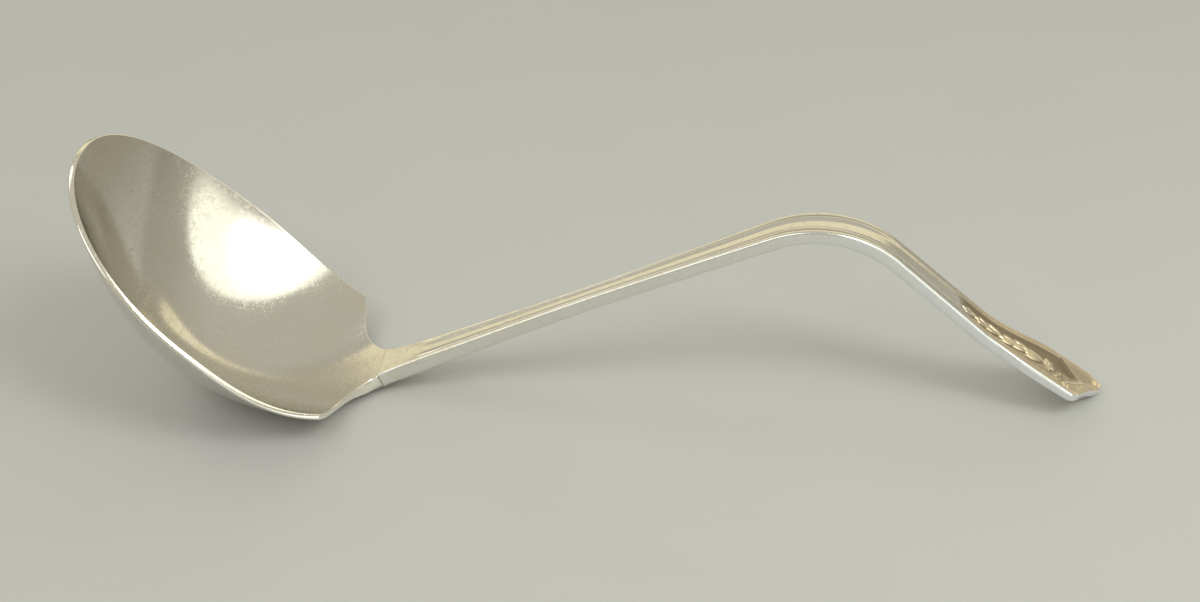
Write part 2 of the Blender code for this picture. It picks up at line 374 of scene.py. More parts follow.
def bowl_lip(outline):
    """Rows of the rim's rounded edge, and the steps from its top to its underside."""
    edge = dish_point(outline[:, 0], outline[:, 1])
    up = dish_normal(outline[:, 0], outline[:, 1])
    on_neck_side = outline[:, 0] < 0
    at_seam = on_neck_side & (np.abs(outline[:, 1]) <= SEAM_HALF + TINY)
    edge[at_seam] = to_seam(edge[at_seam], -SEAM_WIDE / 2 - SEAM_GAP)
    near_seam = 1 - smooth((np.abs(edge[:, 1]) - SEAM_HALF) / SEAM_BLEND)
    near_seam = np.where(on_neck_side, near_seam, 0)[:, None]
    up = unit(up * (1 - near_seam) + SEAM_UP * near_seam)
    tangent = np.roll(edge, -1, 0) - np.roll(edge, 1, 0)
    out = unit(np.cross(up, tangent))
    across = np.zeros(out.shape)
    across[:, 1] = np.sign(edge[:, 1])
    out = unit(out * (1 - near_seam) + across * near_seam)
    round_in = LIP_IN + (STEM_EDGE - LIP_IN) * near_seam
    round_out = LIP_OUT + (BACK_EDGE - LIP_OUT) * near_seam
    thick = bowl_thickness(edge)[:, None]
    lip = edge_rows(edge - out * round_in, up, out, round_in, round_out, thick)
    butt = at_seam & (np.abs(outline[:, 1]) < SEAM_HALF - TINY)
    top = edge[butt] * (1, 1 - STEM_EDGE / SEAM_HALF, 1)
    bottom = top - SEAM_UP * thick[butt]
    bottom[:, 1] *= (SEAM_HALF - BACK_EDGE) / (SEAM_HALF - STEM_EDGE)
    for row, cut in zip(lip, straight_rows(top, bottom)):
        row[butt] = cut
    return lip, up * thick


def make_bowl():
    """Rings from the bowl's middle out to the lip, and back under it to the middle."""
    lip, through_sheet = bowl_lip(rim_outline())
    inner_s, inner_y = rim_plan(lip[0])
    outer_s, outer_y = rim_plan(lip[-1] + through_sheet)
    inner, outer = [], []
    for ring in range(1, RING_STEPS):
        part = sin(pi / 2 * ring / RING_STEPS)
        centre_s = BOWL_CENTRE * (1 - part)
        inner.append(dish_point(centre_s + inner_s * part, inner_y * part))
        s, y = centre_s + outer_s * part, outer_y * part
        point = dish_point(s, y)
        outer.append(point - dish_normal(s, y) * bowl_thickness(point)[:, None])
    rings = inner + lip + outer[::-1]
    for ring in rings:
        ring[:, 2] = np.maximum(ring[:, 2], 0)
    middle = np.array([BOWL_CENTRE]), np.array([0.0])
    centre = dish_point(*middle)
    below = centre - dish_normal(*middle) * SHEET
    verts = np.concatenate([centre, *rings, below])
    count, last = len(inner_s), len(verts) - 1
    here = np.arange(count)
    pairs = np.stack([here, np.roll(here, -1)], -1)
    faces = [(0, 1 + i, 1 + j) for i, j in pairs]
    for row in range(1, 1 + (len(rings) - 1) * count, count):
        under = row + count
        faces += [(row + i, under + i, under + j, row + j) for i, j in pairs]
    row = last - count
    faces += [(last, row + j, row + i) for i, j in pairs]
    on_lip, inside = np.zeros(len(verts)), np.zeros(len(verts))
    first_lip = 1 + len(inner) * count
    on_lip[first_lip : first_lip + len(lip) * count] = 1
    inside[:first_lip] = 1
    # A painted dark reflection, growing towards the bowl's tip on the inside.
    to_tip = rim_plan(verts)[0]
    tip_reflection = smooth((to_tip - DARK_TIP_FROM) / DARK_TIP_WIDE) * inside
    attributes = {"lip": on_lip, "inside": inside, "tip_reflection": tip_reflection}
    return mesh_object("ladle_bowl", verts, faces, attributes)


# ------------------------------------------------------------------ handle
def face_edges(a):
    """Near edge, far edge and thickness of the handle at distances along its face."""
    half, thick = through(STEM, a)
    half = half + FLARE * np.exp(-np.maximum(a - SEAM_A, 0) / FLARE_LONG)
    thick = thick - NECK_THIN * np.exp(-np.maximum(a - SEAM_A, 0) / NECK_RISE_LONG)
    near, far, end_thick = through(END, a - END_START)
    on_end = smooth((a - END_START) / END_BLEND + 0.5)
    near = -half * (1 - on_end) + near * on_end
    far = half * (1 - on_end) + far * on_end
    return near, far, thick * (1 - on_end) + end_thick * on_end


def stations():
    """Distances along the face, then shares of the way to the lobed end."""
    start = SEAM_A + SEAM_WIDE / 2 + SEAM_GAP
    fine = END_START + ORNAMENT_FROM
    full = END_START + END_FULL
    coarse = np.linspace(start, fine, round((fine - start) / STEM_STATION))
    coarse = np.insert(coarse, 1, start + SEAM_GAP)
    detail = np.linspace(fine, full, round((full - fine) / END_STATION))[1:]
    longest = max(reach for _, reach in END_EDGE)
    end = np.linspace(0, 1, round((longest - END_FULL) / END_STATION))[1:]
    return np.concatenate([coarse, detail]), end


def towards_end(a):
    """0 on the first part of the stem, growing to 1 at the end."""
    return smooth((a / END_START - TURN_FROM) / (1 - TURN_FROM))


def side_rounds(a):
    """Radii of the upper and lower long edges at distances along the face."""
    thick = face_edges(a)[2]
    upper = STEM_EDGE + (END_SIDE_EDGE - STEM_EDGE) * towards_end(a)
    return upper, np.minimum(BACK_EDGE, BACK_EDGE_SHARE * thick)


def face_chart(on_back, end_inset):
    """Distance along, place across and wall for a grid inset from the face's outline.

    on_back is 0 for the inset of the face's own edges and 1 for that of the back's.
    """
    plain, shares = stations()
    t = np.linspace(-1, 1, ACROSS)
    u = t + EDGE_CLUSTER * (t - t**3)
    full = END_START + END_FULL
    edge = END_START + through(END_EDGE, u)[0] - end_inset
    stem = np.repeat(plain[:, None], ACROSS, 1)
    a = np.concatenate([stem, full + shares[:, None] * (edge - full)])
    near, far, thick = face_edges(a)
    side_inset = side_rounds(a)[on_back]
    y = near + side_inset + (far - near - 2 * side_inset) * (u + 1) / 2
    from_middle = np.abs(2 * (y - near) / (far - near) - 1)
    return a, y, thick * (1 - BACK_ROUND * from_middle**BACK_POWER)


def perimeter(grid):
    """The grid's border: start, far side, end and near side."""
    parts = [grid[0, :], grid[1:, -1], grid[-1, -2::-1], grid[-2:0:-1, 0]]
    return np.concatenate(parts)


# The struck panel, in millimetres: distance past the end bend, and y.
PANEL_FAR, PANEL_TIP, PANEL_NEAR = (15.3, 4.0), (18.1, -0.8), (14.6, -5.0)
ARCH = ((16.6, -2.0), (15.2, -2.9), (14.6, -3.9))
VALLEY = (PANEL_TIP, (19.6, -0.5), (21.6, -0.1))
PANEL_FROM, PANEL_FADE = -8.5, 3.0
PANEL_DEPTH = 0.34
BEAD_HIGH, BEAD_WIDE, BEAD_FADE, BEAD_REACH = 0.14, 0.24, 0.5, 1.2
GROUND_GAP, GROUND_FADE = 0.15, 0.35  # between the bead and the sunk ground

# The face's border and hollow, from its edge. Both shrink where its half is narrower.
THREAD_HALF = 3.7
GROOVE, GROOVE_WIDE, GROOVE_DEEP = 1.25, 0.17, 0.13
HOLLOW_FROM, HOLLOW_WIDE, HOLLOW_DEEP = 1.55, 1.5, 0.20
THREADS_FROM, THREADS_FADE = 2.75, 11.0  # distance past the seam

# The lobes past the panel. Each line is a place, a width and a depth.
LOBE_DEEP, LOBE_WIDE, LOBE_RIM, NEAR_LOBE_SHARE = 0.30, 1.5, 0.45, 0.35
LOBE_BLEND, LOBE_SHIFT = 0.5, 0.1
FAR_RIM_LINE, NEAR_RIM_LINE = (0.52, 0.16, 0.16), (1.15, 0.22, 0.22)
VALLEY_LINE, PANEL_LINE = (0.0, 0.30, 0.26), (0.58, 0.19, 0.26)

# The sprig of leaves.
SPRIG_FROM, SPRIG_TO = -6.2, 11.6
STALK_Y, STALK_WAVE, STALK_RATE = -0.5, 0.25, 0.9
STALK_HIGH, STALK_WIDE, STALK_FADE = 0.16, 0.24, 1.0
CLUSTERS, CLUSTER_SWAY, SWAY_RATE = 6, 0.10, 2.4
SMALLEST, GROWTH = 0.80, 0.36
CLUSTER_LEAVES = ((1, 0.0, 0.26), (-1, 0.9, 0.22), (0, 1.6, 0.05))  # side, place back, turn
LEAF_LONG, LEAF_WIDE, LEAF_HIGH = 3.7, 0.50, 0.34
LEAF_OUT, LEAF_SHORTER = 0.30, 0.4
LEAF_BLUNT, LEAF_STEEP = 0.7, 1.4
MIDRIB_DEEP, MIDRIB_WIDE = 0.30, 0.18
PETALS, PETAL_STEP = 5, radians(36)
PETAL_LONG, PETAL_WIDE, PETAL_HIGH = 1.9, 0.46, 0.30
BLOSSOM, PETAL_ROOT = (11.5, -0.5), 0.2
BUDS = (((11.4, -0.5), 0.5, 0.36), ((14.4, -1.5), 0.36, 0.24))  # place, radius, height
CURL, CURL_RADIUS, CURL_WIDE, CURL_HIGH, CURL_END = (14.0, -3.0), 0.62, 0.2, 0.22, 14.4
LEAVES_FADE = 0.5

# Tarnish lies in the sunk ground. Painted shade darkens the ground's far side, a painted
# shadow lies beside the leaves, a painted dark line lies in the groove, and the lobes' lines
# are darker where they sink deeper.
GROUND_GRIME, FAR_SHADE_MORE = 0.40, 0.50
FAR_SHADE_FROM, FAR_SHADE_WIDE = -1.6, 1.8
GROUND_DARK_FADE, LEAF_CLEAR_FROM, LEAF_CLEAR_WIDE = 0.9, 0.04, 0.10
LEAF_SHADOW, LEAF_SHADOW_HIGH = (0.35, -0.25), 0.12
GROOVE_SHADE, LOBE_DARKEN, LOBE_DARKEN_FROM, LOBE_DARKEN_WIDE = 0.6, 0.55, 0.12, 0.25
# A painted warm sheen covers the end from its start, except at its edges.
WARM_SHEEN_FROM, WARM_SHEEN_WIDE, WARM_SHEEN_EDGE = -9.0, 6.0, 0.5


def leaf(a, y, root, angle, length, width, height):
    """A pointed leaf with a midrib, raised from the ground."""
    along = ((a - root[0]) * cos(angle) + (y - root[1]) * sin(angle)) / length
    across = (-(a - root[0]) * sin(angle) + (y - root[1]) * cos(angle)) / width
    blade = np.sin(pi * np.clip(along, 0, 1)) ** LEAF_BLUNT + NOT_ZERO
    dome = np.sqrt(np.clip(1 - (across / blade) ** 2, 0, 1))
    dome = dome * np.minimum(1, blade * LEAF_STEEP)
    return height * dome * (1 - MIDRIB_DEEP * bump(across, MIDRIB_WIDE))


def bud(a, y, centre, radius, height):
    """A round bud: half a ball, flattened to its height."""
    away = np.hypot(a - centre[0], y - centre[1]) / radius
    return height * np.sqrt(np.clip(1 - away**2, 0, 1))


def stalk_y(a):
    """The wavy stalk's place across the face."""
    return STALK_Y + STALK_WAVE * np.sin(a * STALK_RATE)


def sprig(a, y):
    """A generic floral strip: a wavy stalk with clusters of leaves, a blossom and a curl."""
    on_stalk = smooth((a - SPRIG_FROM) / STALK_FADE) * smooth((SPRIG_TO - a) / STALK_FADE)
    relief = STALK_HIGH * bump(y - stalk_y(a), STALK_WIDE) * on_stalk
    step = (SPRIG_TO - SPRIG_FROM) / CLUSTERS
    for i in range(CLUSTERS):
        size = SMALLEST + GROWTH * i / (CLUSTERS - 1)
        base = SPRIG_FROM + step * (i + 1 + CLUSTER_SWAY * sin(SWAY_RATE * i))
        for side, back, turn in CLUSTER_LEAVES:
            root = (base - back, stalk_y(base) + side * LEAF_OUT * size)
            long = (LEAF_LONG - LEAF_SHORTER * back) * size
            wide = LEAF_WIDE * size
            made = leaf(a, y, root, pi - side * turn, long, wide, LEAF_HIGH)
            relief = np.maximum(relief, made)
    for k in range(PETALS):
        angle = PETAL_STEP * (k - (PETALS - 1) / 2)
        root = (BLOSSOM[0] + PETAL_ROOT * cos(angle), BLOSSOM[1] + PETAL_ROOT * sin(angle))
        made = leaf(a, y, root, angle, PETAL_LONG, PETAL_WIDE, PETAL_HIGH)
        relief = np.maximum(relief, made)
    for centre, radius, height in BUDS:
        relief = np.maximum(relief, bud(a, y, centre, radius, height))
    from_curl = np.hypot(a - CURL[0], y - CURL[1]) - CURL_RADIUS
    return np.maximum(relief, CURL_HIGH * bump(from_curl, CURL_WIDE) * (a < CURL_END))


def lobe_share(a, y, ridge):
    """1 past the panel's V and arch, 0 on the panel, from the distance to their line."""
    far_slope = (PANEL_TIP[1] - PANEL_FAR[1]) / (PANEL_TIP[0] - PANEL_FAR[0])
    far_line = PANEL_FAR[0] + (y - PANEL_FAR[1]) / far_slope
    arch_a, arch_y = np.array((PANEL_NEAR, *ARCH[::-1], PANEL_TIP)).T
    limit = np.where(y > PANEL_TIP[1], far_line, np.interp(y, arch_y, arch_a))
    outside = np.where(a > limit, 1.0, -1.0)
    return smooth(outside * ridge / LOBE_BLEND + LOBE_SHIFT)


def sunk_line(distance, line):
    """Height of a line sunk at a distance from an edge: (place, width, depth)."""
    place, wide, deep = line
    return -deep * bump(distance - place, wide)


def lobe_height(a, y, near, far, ridge):
    """The two dished lobes past the panel, with the valley between them."""
    half = (far - near) / 2
    share_across = y / half - (far + near) / 2 / half
    edge = np.minimum(y - near, far - y)
    end_edge = np.interp(share_across, *np.array(END_EDGE).T) / MM - a
    rim = np.minimum(edge, end_edge)
    valley, side = polyline_distance(a, y, VALLEY)
    on_far = side > 0
    dish = np.minimum(np.minimum(rim - LOBE_RIM, valley), ridge)
    height = -LOBE_DEEP * smooth(dish / LOBE_WIDE) * np.where(on_far, 1.0, NEAR_LOBE_SHARE)
    height = height + sunk_line(rim, FAR_RIM_LINE) * on_far
    height = height + sunk_line(edge, NEAR_RIM_LINE) * ~on_far
    height = height + sunk_line(valley, VALLEY_LINE) + sunk_line(ridge, PANEL_LINE)
    return height + BEAD_HIGH * bump(ridge, BEAD_WIDE)


def face_height(a, y, near, far):
    """Height of the struck face in millimetres, its tarnish with painted shade, and its
    painted warm sheen.
    """
    scale = np.minimum((far - near) / 2, THREAD_HALF) / THREAD_HALF
    edge = np.minimum(y - near, far - y)
    inner = edge / scale - HOLLOW_FROM
    ridge, _ = polyline_distance(a, y, [PANEL_FAR, PANEL_TIP, *ARCH, PANEL_NEAR])
    lobe = lobe_share(a, y, ridge)
    panel = smooth((a - PANEL_FROM) / PANEL_FADE)
    from_seam = a + (END_START - SEAM_A) / MM
    struck = smooth((from_seam - THREADS_FROM) / THREADS_FADE)
    groove = bump(edge / scale - GROOVE, GROOVE_WIDE)
    sunk = (HOLLOW_DEEP + (PANEL_DEPTH - HOLLOW_DEEP) * panel) * scale
    ground = sunk * smooth(inner / HOLLOW_WIDE) * smooth((ridge - GROUND_GAP) / GROUND_FADE)
    leaves = sprig(a, y) * smooth(inner / LEAVES_FADE) * (1 - lobe)
    bead = BEAD_HIGH * bump(ridge, BEAD_WIDE) * smooth(inner / BEAD_FADE + BEAD_REACH)
    height = bead + leaves - (GROOVE_DEEP * groove + ground) * struck
    height = height * (1 - lobe) + lobe_height(a, y, near, far, ridge) * lobe

    bare = (1 - smooth((leaves - LEAF_CLEAR_FROM) / LEAF_CLEAR_WIDE)) * panel * (1 - lobe)
    # Painted shade: the ground is darker towards the far side.
    far_shade = smooth((y - FAR_SHADE_FROM) / FAR_SHADE_WIDE)
    dirt_and_shade = GROUND_GRIME + FAR_SHADE_MORE * far_shade
    grime_and_shade = bare * dirt_and_shade * smooth(inner / GROUND_DARK_FADE)
    # A painted shadow beside the leaves.
    shadow = sprig(a - LEAF_SHADOW[0], y - LEAF_SHADOW[1]) / LEAF_SHADOW_HIGH
    grime_and_shade = np.maximum(grime_and_shade, bare * smooth(shadow))
    # A painted dark line in the groove.
    grime_and_shade = np.maximum(grime_and_shade, GROOVE_SHADE * groove * struck * (1 - lobe))
    # Darker where the lobes sink deeper.
    in_lobe = smooth((-height - LOBE_DARKEN_FROM) / LOBE_DARKEN_WIDE) * lobe
    grime_and_shade = np.maximum(grime_and_shade, LOBE_DARKEN * in_lobe)
    # A painted warm sheen over the end, except at its edges.
    warm_sheen = smooth((a - WARM_SHEEN_FROM) / WARM_SHEEN_WIDE) * smooth(edge / WARM_SHEEN_EDGE)
    return height, grime_and_shade, warm_sheen


def outward(along, chart):
    """Directions out of the face's border, from its loop of (distance along, y)."""
    turn = unit(np.roll(chart, -1, 0) - np.roll(chart, 1, 0))
    return np.array((0, 1, 0)) * turn[:, :1] - along * turn[:, 1:]


def handle_wall(top, back, a, y, height, drop):
    """Rows of the wall round the handle, from its face's border to its back's."""
    rows, cols = a.shape
    _, along, up = path_frame(perimeter(a))
    out = outward(along, np.stack([perimeter(a), perimeter(y)], -1))
    out[[0, cols - 1]] = ((0, -1, 0), (0, 1, 0))
    at_end, at_seam = np.zeros((rows, cols), bool), np.zeros((rows, cols), bool)
    at_end[-1, :] = True
    at_seam[0, 1:-1] = True
    at_end, at_seam = perimeter(at_end), perimeter(at_seam)
    upper, lower = side_rounds(perimeter(a))
    upper = np.where(at_end, END_EDGE_ROUND, upper)[:, None]
    lower = np.where(at_end, END_BACK_ROUND, lower)[:, None]
    thick = perimeter(drop + height)[:, None]
    border, under = perimeter(top), perimeter(back)
    wall = edge_rows(border, up, out, upper, lower, thick)
    for row, cut in zip(wall, straight_rows(border[at_seam], under[at_seam])):
        row[at_seam] = cut
    return wall[1:-1]


def make_handle():
    """The struck face and the back as two grids, joined by the wall's rows."""
    a, y, _ = face_chart(0, END_EDGE_ROUND)
    near, far, _ = face_edges(a)
    past_end = (a - END_START) / MM
    height, grime_and_shade, warm_sheen = face_height(past_end, y / MM, near / MM, far / MM)
    rise = NECK_RISE * np.exp(-np.maximum(a - SEAM_A, 0) / NECK_RISE_LONG)
    height = height * MM + rise
    top = face_point(a, y, height)
    under_a, under_y, drop = face_chart(1, END_BACK_ROUND)
    back = face_point(under_a, under_y, -drop)
    wall = handle_wall(top, back, a, y, height, drop)
    index = np.arange(a.size).reshape(a.shape)
    ring = perimeter(index)
    first_wall = a.size
    first_back = first_wall + len(wall) * len(ring)
    quads = np.stack([index[:-1, :-1], index[1:, :-1], index[1:, 1:], index[:-1, 1:]], -1)
    quads = quads.reshape(-1, 4)
    faces = quads.tolist() + (quads[:, ::-1] + first_back).tolist()
    walls = np.arange(first_wall, first_back).reshape(len(wall), len(ring))
    loops = [ring, *walls, ring + first_back]
    for upper, below in zip(loops, loops[1:]):
        quad = np.stack([upper, np.roll(upper, -1), np.roll(below, -1), below], -1)
        faces += quad.tolist()
    verts = np.concatenate([top.reshape(-1, 3), *wall, back.reshape(-1, 3)])
    verts[:, 2] = np.maximum(verts[:, 2], 0)
    beyond_face = np.zeros(len(verts) - first_wall)
    # A painted cool sheen on the walls, growing towards the end.
    clean_and_sheen = np.zeros(len(verts))
    clean_and_sheen[first_wall:first_back] = np.tile(towards_end(perimeter(a)), len(wall))
    attributes = {
        "grime_and_shade": np.concatenate([grime_and_shade.reshape(-1), beyond_face]),
        "warm_sheen": np.concatenate([warm_sheen.reshape(-1), beyond_face]),
        "clean_and_sheen": clean_and_sheen,
    }
    return mesh_object("ladle_handle", verts, faces, attributes)


def make_seam():
    """The line of solder across the neck, slightly inside the silver's section."""
    across = np.linspace(-1, 1, SEAM_COLUMNS)
    middle = np.full(across.shape, SEAM_A)
    _, half, thick = face_edges(middle)
    upper, lower = side_rounds(middle)
    top = face_point(middle, across * (half - upper), np.full(across.shape, NECK_RISE))
    from_middle = np.abs(across * (half - lower) / half)
    drop = thick * (1 - BACK_ROUND * from_middle**BACK_POWER)
    back = face_point(middle, across * (half - lower), -drop)
    to_far = np.array((0.0, 1.0, 0.0))
    wall = drop[0] + NECK_RISE
    far_side = edge_rows(top[-1], SEAM_UP, to_far, upper[0], lower[0], wall)
    near_side = edge_rows(top[0], SEAM_UP, -to_far, upper[0], lower[0], wall)
    section = np.array([*top, *far_side[1:-1], *back[::-1], *near_side[-2:0:-1]])
    section = section - unit(section - section.mean(0)) * SEAM_INSET
    half_wide = SEAM_ALONG * SEAM_WIDE / 2
    count = len(section)
    here = np.arange(count)
    faces = [(i, count + i, count + j, j) for i, j in zip(here, np.roll(here, -1))]
    faces.append(tuple(here))
    faces.append(tuple(count + here[::-1]))
    verts = np.concatenate([section - half_wide, section + half_wide])
    return mesh_object("neck_seam", verts, faces, {})


# ------------------------------------------------------------------ materials
class Finish:
    """A node material put together in a few words."""

    def __init__(self, name, metallic):
        self.material = bpy.data.materials.new(name)
        self.material.use_nodes = True
        self.tree = self.material.node_tree
        self.shader = self.tree.nodes["Principled BSDF"]
        self.shader.inputs["Metallic"].default_value = metallic
        self.place = self.add("ShaderNodeTexCoord").outputs["Object"]

    def add(self, kind, inputs=None, **settings):
        """A new node, with its settings and the values or links of its inputs."""
        made = self.tree.nodes.new(kind)
        for key, value in settings.items():
            setattr(made, key, value)
        for key, value in (inputs or {}).items():
            self.put(made.inputs[key], value)
        return made

    def put(self, socket, value):
        """Links another node's output to a socket, or sets its number or colour."""
        if isinstance(value, bpy.types.NodeSocket):
            self.tree.links.new(value, socket)
        else:
            socket.default_value = value

    def math(self, operation, *values):
        made = self.add("ShaderNodeMath", operation=operation)
        for socket, value in zip(made.inputs, values):
            self.put(socket, value)
        return made.outputs[0]

    def noise(self, scale, detail, stretch=None, turn=None, rough=0.55):
        place = self.place
        if stretch:
            inputs = {"Vector": place, "Rotation": turn, "Scale": stretch}
            place = self.add("ShaderNodeMapping", inputs).outputs[0]
        inputs = {"Vector": place, "Scale": scale, "Detail": detail, "Roughness": rough}
        return self.add("ShaderNodeTexNoise", inputs).outputs[0]

    def ramp(self, value, low, high):
        """0 below low and 1 above high."""
        inputs = {"Value": value, "From Min": low, "From Max": high}
        return self.add("ShaderNodeMapRange", inputs).outputs[0]

    def mix(self, share, first, second):
        made = self.add("ShaderNodeMix", data_type="RGBA")
        self.put(made.inputs["Factor"], share)
        self.put(made.inputs["A"], first)
        self.put(made.inputs["B"], second)
        return made.outputs["Result"]

    def attribute(self, name):
        return self.add("ShaderNodeAttribute", attribute_name=name).outputs["Fac"]

    def weighted(self, parts, base, weights):
        """The base plus each named part times its weight."""
        total = base
        for name, weight in weights.items():
            total = self.math("ADD", total, self.math("MULTIPLY", parts[name], weight))
        return total

    def complete(self, colour, parts, roughness, relief, distance, strength):
        """Joins colour, roughness and relief to the shader."""
        height = self.weighted(parts, *relief)
        inputs = {"Height": height, "Distance": distance, "Strength": strength}
        bumps = self.add("ShaderNodeBump", inputs).outputs[0]
        self.put(self.shader.inputs["Base Color"], colour)
        self.put(self.shader.inputs["Roughness"], self.weighted(parts, *roughness))
        self.put(self.shader.inputs["Normal"], bumps)
        return self.material


# Noise: scale and detail, then the range that is spread over 0 to 1.
CLOUD, CLOUD_RANGE = (70.0, 5.0), (0.38, 0.72)
SPECK, SPECK_RANGE, SPECK_SHARE = (1100.0, 2.0), (0.52, 0.74), 0.18
FADE, FADE_RANGE = (160.0, 2.0), (0.35, 0.70)
RIPPLE = (120.0, 1.0)
SOLDER_GRAIN, SOLDER_RANGE = (2500.0, 3.0), (0.4, 0.7)
FLOOR_GRAIN = (30.0, 4.0)

# Scratches: their noise is stretched along one direction for each turn.
SCRATCH_TURNS = (
    (0.2, 0.5, 0.3),
    (0.9, -0.3, 1.4),
    (-0.5, 0.8, 2.3),
    (1.3, 0.2, -0.7),
)
SCRATCH_STRETCH, SCRATCH_DETAIL, SCRATCH_ROUGH = (1.0, 0.012, 1.0), 1.0, 0.4
SCRATCH_RANGE = (0.66, 0.74)
BOWL_SCRATCHES, HANDLE_SCRATCHES = 4200.0, 5000.0

# Silver colours: clean, tarnished and in the pits. Tarnish is the clouds' share.
BOWL_SILVER = ((0.83, 0.815, 0.765, 1), (0.76, 0.70, 0.57, 1), (0.48, 0.45, 0.38, 1))
HANDLE_SILVER = ((0.86, 0.85, 0.80, 1), (0.80, 0.75, 0.60, 1), (0.50, 0.46, 0.38, 1))
BOWL_TARNISH, HANDLE_TARNISH = 0.45, 0.4

# Colours laid over them, by the mesh attribute that says where.
# Painted highlight on the lip: a lighter cream.
LIP_HIGHLIGHT_COLOUR = (0.93, 0.90, 0.81, 1)
# Painted dark reflection inside the bowl's tip.
TIP_REFLECTION_COLOUR, TIP_REFLECTION_SHARE = (0.42, 0.37, 0.27, 1), 0.75
# Painted cool sheen on the handle's walls towards the end.
WALL_SHEEN_COLOUR = (0.93, 0.96, 0.97, 1)
# Painted warm sheen on the end's face.
WARM_SHEEN_COLOUR, WARM_SHEEN_SHARE = (1.0, 0.86, 0.64, 1), 0.9
# Tarnish with painted shade on the handle's face.
GRIME_AND_SHADE_COLOUR, GRIME_AND_SHADE_SHARE = (0.20, 0.155, 0.10, 1), 0.85
SOLDER_COLOURS = ((0.60, 0.58, 0.51, 1), (0.74, 0.72, 0.65, 1))
FLOOR_COLOURS = ((0.60, 0.61, 0.62, 1), (0.63, 0.64, 0.65, 1))

# Roughness: a base, and what each part adds to it.
BOWL_ROUGH = (0.09, {"cloud": 0.07, "inside": 0.02, "speck": 0.12, "scratch": 0.30})
HANDLE_ROUGH = (0.14, {"cloud": 0.08, "speck": 0.10, "scratch": 0.18, "grime_and_shade": 0.20})
SOLDER_ROUGH = (0.35, {"grain": 0.2})
FLOOR_ROUGH = (0.6, {"grain": 0.1})

# Relief: a base and each part's share of it, then its distance and strength.
BOWL_RELIEF = (0.0, {"ripple": 0.8, "scratch": -1.0, "speck": -0.4}), 0.00001, 0.35
HANDLE_RELIEF = (0.0, {"cloud": 0.3, "scratch": -1.0, "speck": -0.6}), 0.00001, 0.4
SOLDER_RELIEF = (0.0, {"grain": 1.0}), 0.00002, 0.5
FLOOR_RELIEF = (0.0, {"grain": 1.0}), 0.0002, 0.1


def scratches(finish, scale):
    """Fine straight lines in several directions: the peaks of strongly stretched noise."""
    total = 0.0
    for turn in SCRATCH_TURNS:
        field = finish.noise(scale, SCRATCH_DETAIL, SCRATCH_STRETCH, turn, SCRATCH_ROUGH)
        line = finish.ramp(field, *SCRATCH_RANGE)
        total = finish.math("MAXIMUM", total, line)
    fade = finish.ramp(finish.noise(*FADE), *FADE_RANGE)
    return finish.math("MULTIPLY", total, fade)


def worn_silver(finish, colours, tarnish, scratch_scale):
    """The silver's colour, with cloudy tarnish and dark pits, and its surface's parts."""
    clean_and_sheen, tarnished, pits = colours
    cloud = finish.ramp(finish.noise(*CLOUD), *CLOUD_RANGE)
    speck = finish.ramp(finish.noise(*SPECK), *SPECK_RANGE)
    colour = finish.mix(finish.math("MULTIPLY", cloud, tarnish), clean_and_sheen, tarnished)
    colour = finish.mix(finish.math("MULTIPLY", speck, SPECK_SHARE), colour, pits)
    parts = {"cloud": cloud, "speck": speck, "scratch": scratches(finish, scratch_scale)}
    return colour, parts


def bowl_material():
    finish = Finish("worn_silver_bowl", 1.0)
    colour, parts = worn_silver(finish, BOWL_SILVER, BOWL_TARNISH, BOWL_SCRATCHES)
    # Painted dark reflection inside the tip.
    tip_reflection = finish.math("MULTIPLY", finish.attribute("tip_reflection"), TIP_REFLECTION_SHARE)
    colour = finish.mix(tip_reflection, colour, TIP_REFLECTION_COLOUR)
    # Painted highlight on the lip.
    colour = finish.mix(finish.attribute("lip"), colour, LIP_HIGHLIGHT_COLOUR)
    parts["inside"] = finish.attribute("inside")
    parts["ripple"] = finish.noise(*RIPPLE)
    return finish.complete(colour, parts, BOWL_ROUGH, *BOWL_RELIEF)


def handle_material():
    finish = Finish("worn_silver_handle", 1.0)
    colour, parts = worn_silver(finish, HANDLE_SILVER, HANDLE_TARNISH, HANDLE_SCRATCHES)
    parts["grime_and_shade"] = finish.attribute("grime_and_shade")
    warm_sheen = finish.math("MULTIPLY", finish.attribute("warm_sheen"), WARM_SHEEN_SHARE)
    dirt_and_shade = finish.math("MULTIPLY", parts["grime_and_shade"], GRIME_AND_SHADE_SHARE)
    # Painted cool sheen on the walls.
    colour = finish.mix(finish.attribute("clean_and_sheen"), colour, WALL_SHEEN_COLOUR)
    # Painted warm sheen on the end.
    colour = finish.mix(warm_sheen, colour, WARM_SHEEN_COLOUR)
    # Tarnish with painted shade.
    colour = finish.mix(dirt_and_shade, colour, GRIME_AND_SHADE_COLOUR)
    return finish.complete(colour, parts, HANDLE_ROUGH, *HANDLE_RELIEF)


def solder_material():
    finish = Finish("grey_solder", 1.0)
    grain = finish.noise(*SOLDER_GRAIN)
    colour = finish.mix(finish.ramp(grain, *SOLDER_RANGE), *SOLDER_COLOURS)
    return finish.complete(colour, {"grain": grain}, SOLDER_ROUGH, *SOLDER_RELIEF)


def floor_material():
    finish = Finish("pale_floor", 0.0)
    grain = finish.noise(*FLOOR_GRAIN)
    colour = finish.mix(grain, *FLOOR_COLOURS)
    return finish.complete(colour, {"grain": grain}, FLOOR_ROUGH, *FLOOR_RELIEF)


# ------------------------------------------------------------------ surroundings
CAMERA_TARGET = Vector((0.00074, 0.0, 0.01739))
CAMERA_AZIMUTH, CAMERA_ELEVATION = radians(5.77), radians(29.87)
CAMERA_ROLL = radians(-1.57)
CAMERA_DISTANCE = 0.3448
CAMERA_LENS, CAMERA_SENSOR = 60.0, 36.0  # millimetres
CAMERA_NEAR = 0.01

